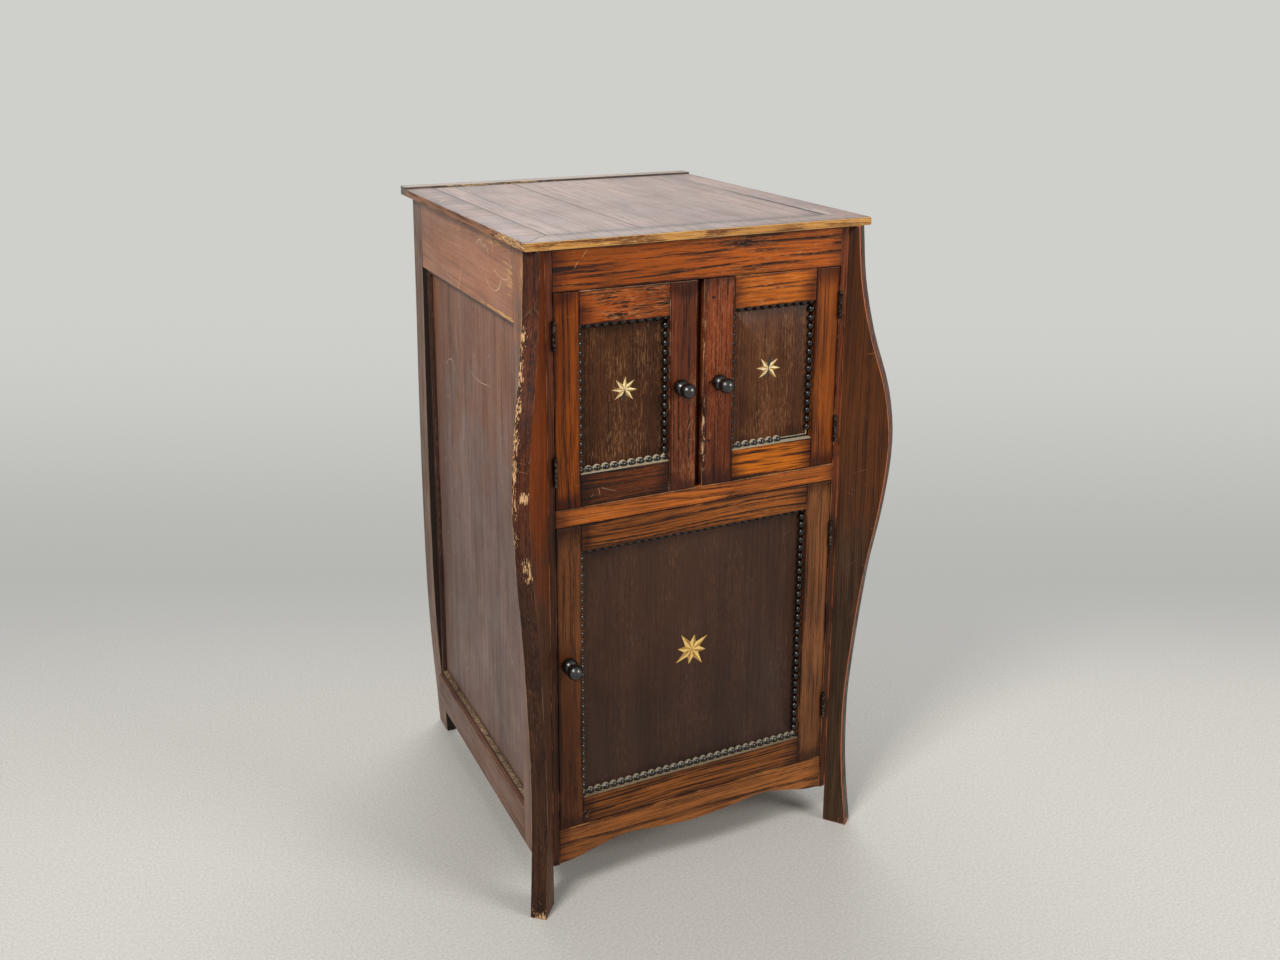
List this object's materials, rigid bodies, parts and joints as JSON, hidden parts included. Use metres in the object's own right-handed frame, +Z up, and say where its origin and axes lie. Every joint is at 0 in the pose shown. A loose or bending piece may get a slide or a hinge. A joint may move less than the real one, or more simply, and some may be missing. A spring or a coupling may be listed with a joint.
{
  "type": "floor standing gramophone cabinet",
  "caption": "Floor-standing gramophone cabinet with bowed corner posts, hinged lid, beaded doors over a horn mouth and record space, turntable, tonearm and winding crank.",
  "frame": {"origin": "middle of the whole object's base on the floor, crank and posts included", "axes": "+Z up, +Y towards the back, +X to the right of someone facing the doors"},
  "size_m": [0.5996, 0.6004, 0.933],
  "materials": {
    "leg_wood": "satin stained wood",
    "front_wood": "satin stained wood",
    "side_wood": "satin stained wood",
    "lid_wood": "satin stained wood",
    "door_wood": "satin stained wood",
    "door_panel_wood": "satin stained wood",
    "inner_wood": "plain wood",
    "beading": "black gloss wood",
    "star": "pale inlay",
    "knob": "black gloss wood",
    "hinge": "blackened",
    "motor_iron": "painted",
    "steel": "oiled",
    "brass": "polished",
    "nickel": "nickel plated",
    "felt": "felt"
  },
  "bodies": {
    "case": {"front_left_post": "leg_wood", "front_right_post": "leg_wood", "rear_left_leg": "leg_wood", "rear_right_leg": "leg_wood", "left_front_stile": "front_wood", "right_front_stile": "front_wood", "left_top_rail": "side_wood", "right_top_rail": "side_wood", "left_bottom_rail": "side_wood", "right_bottom_rail": "side_wood", "left_side_panel": "side_wood", "right_side_panel": "side_wood", "front_top_rail": "front_wood", "middle_rail": "front_wood", "apron": "front_wood", "back_top_rail": "inner_wood", "back_panel": "inner_wood", "floor_board": "inner_wood", "shelf": "inner_wood", "horn_fascia": "inner_wood", "horn": "inner_wood", "motor_board": "inner_wood", "case_hinge_leaves": "hinge", "lid_hinge_plates": "hinge", "motor_frame": "motor_iron", "tonearm_base": "nickel"},
    "lid": {"lid_frame": "lid_wood", "lid_rear_strip": "lid_wood", "lid_panel": "lid_wood", "lid_hinge_flaps": "hinge"},
    "left_door": {"left_door_stiles": "door_wood", "left_door_rails": "door_wood", "left_door_panel": "door_panel_wood", "left_door_beading": "beading", "left_door_star": "star", "left_door_knob": "knob", "left_door_hinge_leaves": "hinge"},
    "right_door": {"right_door_stiles": "door_wood", "right_door_rails": "door_wood", "right_door_panel": "door_panel_wood", "right_door_beading": "beading", "right_door_star": "star", "right_door_knob": "knob", "right_door_hinge_leaves": "hinge"},
    "lower_door": {"lower_door_stiles": "door_wood", "lower_door_rails": "door_wood", "lower_door_panel": "door_panel_wood", "lower_door_beading": "beading", "lower_door_star": "star", "lower_door_knob": "knob", "lower_door_hinge_leaves": "hinge"},
    "turntable": {"turntable": "nickel", "turntable_mat": "felt"},
    "spring_barrel": {"spring_barrel": "steel"},
    "governor": {"governor": "brass"},
    "tonearm": {"tonearm": "nickel"},
    "soundbox": {"soundbox": "nickel"},
    "crank": {"crank": "nickel"},
    "crank_grip": {"crank_grip": "knob"},
    "brake_lever": {"brake_lever": "nickel"}
  },
  "joints": [
    {"name": "lid_hinge", "type": "hinge", "parent": "case", "child": "lid", "pos_m": [-0.01618, 0.28109, 0.9151], "axis": [-1, 0, 0], "range_deg": [0, 95]},
    {"name": "left_door_hinge", "type": "hinge", "parent": "case", "child": "left_door", "pos_m": [-0.22718, -0.24871, 0.72], "axis": [0, 0, -1], "range_deg": [0, 115]},
    {"name": "right_door_hinge", "type": "hinge", "parent": "case", "child": "right_door", "pos_m": [0.19482, -0.24871, 0.72], "axis": [0, 0, 1], "range_deg": [0, 115]},
    {"name": "lower_door_hinge", "type": "hinge", "parent": "case", "child": "lower_door", "pos_m": [0.19482, -0.24871, 0.336], "axis": [0, 0, 1], "range_deg": [0, 115]},
    {"name": "turntable_spin", "type": "hinge", "parent": "case", "child": "turntable", "pos_m": [-0.02618, -0.05081, 0.83], "axis": [0, 0, -1], "continuous": true},
    {"name": "spring_barrel_turn", "type": "hinge", "parent": "case", "child": "spring_barrel", "pos_m": [-0.07818, -0.03481, 0.757], "axis": [0, 0, -1], "continuous": true},
    {"name": "governor_spin", "type": "hinge", "parent": "case", "child": "governor", "pos_m": [0.00382, -0.0625, 0.757], "axis": [1, 0, 0], "continuous": true},
    {"name": "tonearm_swing", "type": "hinge", "parent": "case", "child": "tonearm", "pos_m": [0.08882, 0.14919, 0.8775], "axis": [0, 0, -1], "range_deg": [0, 32]},
    {"name": "soundbox_turn", "type": "hinge", "parent": "tonearm", "child": "soundbox", "pos_m": [0.15742, -0.06194, 0.8775], "axis": [-0.9511, -0.309, 0], "range_deg": [0, 100]},
    {"name": "crank_wind", "type": "hinge", "parent": "case", "child": "crank", "pos_m": [0.22782, -0.03081, 0.757], "axis": [-1, 0, 0], "continuous": true},
    {"name": "crank_grip_turn", "type": "hinge", "parent": "crank", "child": "crank_grip", "pos_m": [0.26582, -0.03081, 0.662], "axis": [1, 0, 0], "continuous": true},
    {"name": "brake_swing", "type": "hinge", "parent": "case", "child": "brake_lever", "pos_m": [-0.16618, -0.14581, 0.82], "axis": [0, 0, -1], "range_deg": [0, 19]}
  ],
  "couplings": [
    {"joint": "spring_barrel_turn", "follows": "turntable_spin", "ratio": -0.07},
    {"joint": "governor_spin", "follows": "turntable_spin", "ratio": 10}
  ]
}
